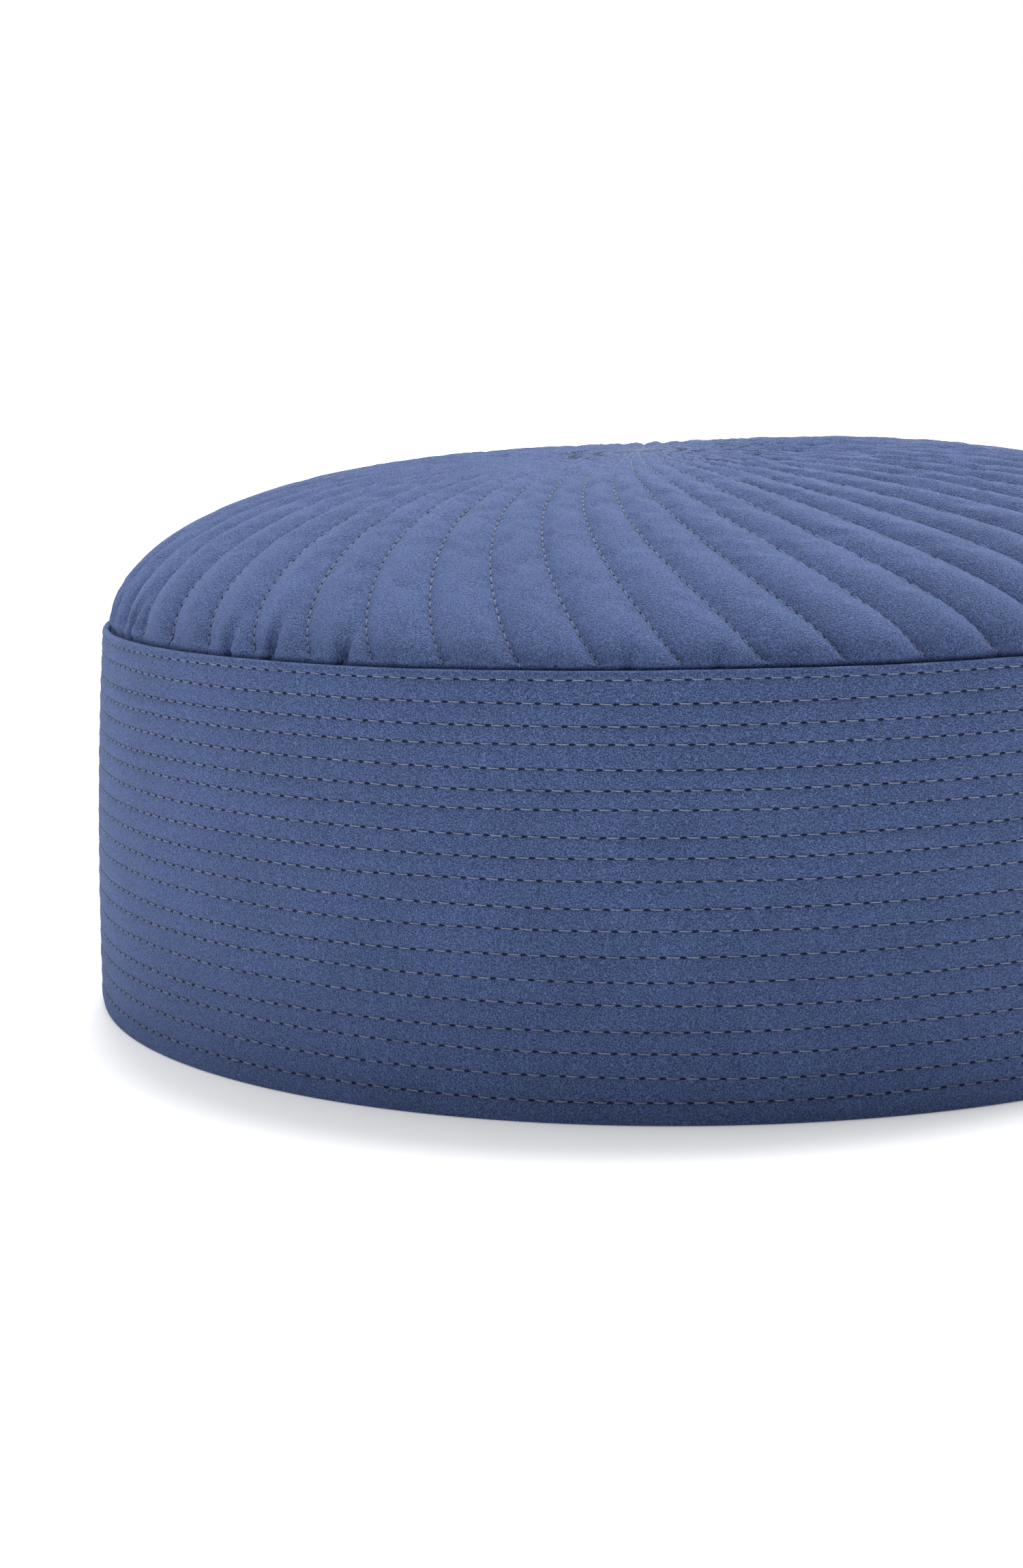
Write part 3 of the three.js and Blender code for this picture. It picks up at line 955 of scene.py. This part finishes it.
class CAP_OT_crown_stitches(bpy.types.Operator):
    """Add the crown's quilting stitches and the knot where they meet"""
    bl_idname = "cap.crown_stitches"
    bl_label = "Crown stitches"

    def execute(self, context):
        crown = context.scene.cap_crown
        piece = quilt_stitches("crown_thread", crown.puff, 1, 6)
        dress(piece, thread(), ["crown_quilting_thread"])
        dress(build_knot(), thread())
        return {"FINISHED"}


class CAP_OT_linings(bpy.types.Operator):
    """Add the linings and the lower thread that shows on them"""
    bl_idname = "cap.linings"
    bl_label = "Linings"

    def execute(self, context):
        dress(build_band_lining(), poplin(), ["band_lining"])
        dress(build_crown_lining(), poplin(), ["crown_lining"])
        face = WALL_DEPTH + 2 * LINING_CLOTH + PLY_GAP
        for row in range(len(ROW_NODES)):
            piece = row_stitches(f"band_lower_thread_{row + 1:02d}", row, face, -1, 4)
            dress(piece, thread())
        lower = quilt_stitches("crown_lower_thread", LINING_PUFF * context.scene.cap_crown.puff, -1, 4)
        dress(lower, thread())
        return {"FINISHED"}


class CAP_OT_stiffening(bpy.types.Operator):
    """Give the felt and canvas inside the band their materials"""
    bl_idname = "cap.stiffening"
    bl_label = "Stiffening"

    def execute(self, context):
        felt = fibre_material("needle_felt", "#D8D6CF", 0.6 * MM, 0.1 * MM, (1, 1, 1))
        canvas = fibre_material("stiffened_canvas", "#E6E1D3", 0.5 * MM, 0.1 * MM, (1, 1, 0.15))
        for name, material in (("band_felt", felt), ("band_canvas", canvas)):
            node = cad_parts[name]
            node.data.materials.clear()
            node.data.materials.append(material)
        return {"FINISHED"}


class CAP_OT_stage(bpy.types.Operator):
    """Add the floor, the studio light and the camera"""
    bl_idname = "cap.stage"
    bl_label = "Stage"

    def execute(self, context):
        add_floor()
        add_world()
        add_key_light()
        add_inner_light()
        add_camera()
        context.scene.view_settings.view_transform = "Standard"
        return {"FINISHED"}


# ---- Stage ----

def add_floor():
    """A plain white table under the hem, lit a little from below, and clear when seen from below."""
    half = 3.0
    mesh = bpy.data.meshes.new("studio_floor")
    corners = [(-half, -half, 0), (half, -half, 0), (half, half, 0), (-half, half, 0)]
    mesh.from_pydata(corners, [], [(0, 1, 2, 3)])
    floor = bpy.data.objects.new("studio_floor", mesh)
    context = bpy.context
    context.scene.collection.objects.link(floor)
    material, tree, shader, coords = start_material("matte_acrylic_light_table")
    speckle = add_node(tree, "ShaderNodeTexNoise", {"Scale": 4.0}, {"Vector": coords.outputs["Object"]})
    tone = add_node(tree, "ShaderNodeMapRange", {"To Min": 0.995, "To Max": 1.0},
                    {"Value": speckle.outputs["Fac"]})
    colour = add_node(tree, "ShaderNodeVectorMath", {0: context.scene.cap_colours.floor},
                      {1: tone.outputs[0]}, operation="MULTIPLY")
    tree.links.new(colour.outputs[0], shader.inputs["Base Color"])
    shader.inputs["Roughness"].default_value = 1.0
    shader.inputs["Specular IOR Level"].default_value = 0.0
    shader.inputs["Emission Color"].default_value = (1, 1, 1, 1)
    shader.inputs["Emission Strength"].default_value = 0.23
    side = add_node(tree, "ShaderNodeNewGeometry")
    clear = add_node(tree, "ShaderNodeBsdfTransparent")
    one_way = add_node(tree, "ShaderNodeMixShader", None,
                       {0: side.outputs["Backfacing"], 1: shader.outputs[0], 2: clear.outputs[0]})
    tree.links.new(one_way.outputs[0], tree.nodes["Material Output"].inputs["Surface"])
    floor.data.materials.append(material)


def add_world():
    """White surroundings, dim in front, with a pale wall to the left and a window behind on the right.

    Away from the camera's own view, the strength in a direction is 0.04, plus 1.3 times the cosine of its
    angle from the wall, plus 4 times the fourth power of the cosine of its angle from the window.
    """
    world = bpy.data.worlds.new("studio")
    bpy.context.scene.world = world
    world.use_nodes = True
    tree = world.node_tree
    background = tree.nodes["Background"]
    background.inputs["Color"].default_value = (1, 1, 1, 1)
    coords = add_node(tree, "ShaderNodeTexCoord")
    lighting = None
    for direction, power, strength in (((-0.8, 0.35, 0.49), 1, 1.3), ((0.43, 0.73, 0.53), 4, 4.0)):
        cosine = add_node(tree, "ShaderNodeVectorMath", {1: direction}, {0: coords.outputs["Generated"]},
                          operation="DOT_PRODUCT")
        facing = add_node(tree, "ShaderNodeMath", {1: 0.0}, {0: cosine.outputs["Value"]}, operation="MAXIMUM")
        lobe = add_node(tree, "ShaderNodeMath", {1: power}, {0: facing.outputs[0]}, operation="POWER")
        below = {2: lighting.outputs[0]} if lighting else {}
        lighting = add_node(tree, "ShaderNodeMath", {1: strength, 2: WORLD_LOW},
                            {0: lobe.outputs[0], **below}, operation="MULTIPLY_ADD")
    path = add_node(tree, "ShaderNodeLightPath")
    strength = add_node(tree, "ShaderNodeMix", {"B": 1.0},
                        {"Factor": path.outputs["Is Camera Ray"], "A": lighting.outputs[0]})
    tree.links.new(strength.outputs["Result"], background.inputs["Strength"])


def add_key_light():
    """A broad soft light overhead, a little behind the cap."""
    light = bpy.data.lights.new("key_light", "SUN")
    light.energy = 3.7
    light.angle = math.radians(28)
    holder = bpy.data.objects.new("key_light", light)
    holder.location = (0.12, 0.42, 0.9)
    holder.rotation_euler = holder.location.to_track_quat("Z", "Y").to_euler()
    bpy.context.scene.collection.objects.link(holder)


def add_inner_light():
    """A weak light under the crown, which only the linings see."""
    light = bpy.data.lights.new("inner_light", "AREA")
    light.size = 0.12
    light.energy = 0.12
    holder = bpy.data.objects.new("inner_light", light)
    holder.location = (0, 0, 3 * MM)
    holder.rotation_euler = (math.pi, 0, 0)
    holder.visible_camera = False
    bpy.context.scene.collection.objects.link(holder)


def add_camera():
    """A camera a little above the crown, in front of the cap and aimed to its left."""
    distance = 4.736 * CAMERA_UNIT
    height = 1.0684 * CAMERA_UNIT
    pitch, yaw, roll = math.radians(8.8), math.radians(-3.563), math.radians(-1.23)
    forward = np.array([math.sin(yaw) * math.cos(pitch), math.cos(yaw) * math.cos(pitch), -math.sin(pitch)])
    right = np.array([math.cos(yaw), -math.sin(yaw), 0])
    up = np.cross(right, forward)
    level_right = right * math.cos(roll) + up * math.sin(roll)
    level_up = up * math.cos(roll) - right * math.sin(roll)
    camera = bpy.data.cameras.new("camera")
    camera.sensor_fit = "VERTICAL"
    camera.sensor_height = 36
    camera.lens = 62.6087
    camera.clip_start = 0.01
    camera.clip_end = 50
    holder = bpy.data.objects.new("camera", camera)
    matrix = np.eye(4)
    matrix[:3, :3] = np.stack([level_right, level_up, -forward], 1)
    matrix[:3, 3] = (0, -distance, height)
    holder.matrix_world = Matrix(matrix.tolist())
    bpy.context.scene.collection.objects.link(holder)
    bpy.context.scene.camera = holder


# ---- Panel and registration ----

OPERATORS = (CAP_OT_stage, CAP_OT_band, CAP_OT_band_stitches, CAP_OT_crown, CAP_OT_crown_stitches,
             CAP_OT_linings, CAP_OT_stiffening)


class CAP_PT_panel(bpy.types.Panel):
    """Lists the cap's pieces in the sidebar"""
    bl_label = "Quilted cap"
    bl_idname = "CAP_PT_panel"
    bl_space_type = "VIEW_3D"
    bl_region_type = "UI"
    bl_category = "Cap"

    def draw(self, context):
        for operator in OPERATORS:
            self.layout.operator(operator.bl_idname)


GROUPS = {"cap_band": CapBandSizes, "cap_crown": CapCrownSizes, "cap_stitches": CapStitchSizes,
          "cap_colours": CapColours}


def register():
    for group in GROUPS.values():
        bpy.utils.register_class(group)
    for name, group in GROUPS.items():
        setattr(bpy.types.Scene, name, bpy.props.PointerProperty(type=group))
    for operator in OPERATORS:
        bpy.utils.register_class(operator)
    bpy.utils.register_class(CAP_PT_panel)


def unregister():
    bpy.utils.unregister_class(CAP_PT_panel)
    for operator in reversed(OPERATORS):
        bpy.utils.unregister_class(operator)
    for name, group in GROUPS.items():
        delattr(bpy.types.Scene, name)
        bpy.utils.unregister_class(group)


def main():
    register()
    bpy.ops.cap.stage()
    bpy.ops.cap.band()
    bpy.ops.cap.band_stitches()
    bpy.ops.cap.crown()
    bpy.ops.cap.crown_stitches()
    bpy.ops.cap.linings()
    bpy.ops.cap.stiffening()


if __name__ == "__main__":
    main()
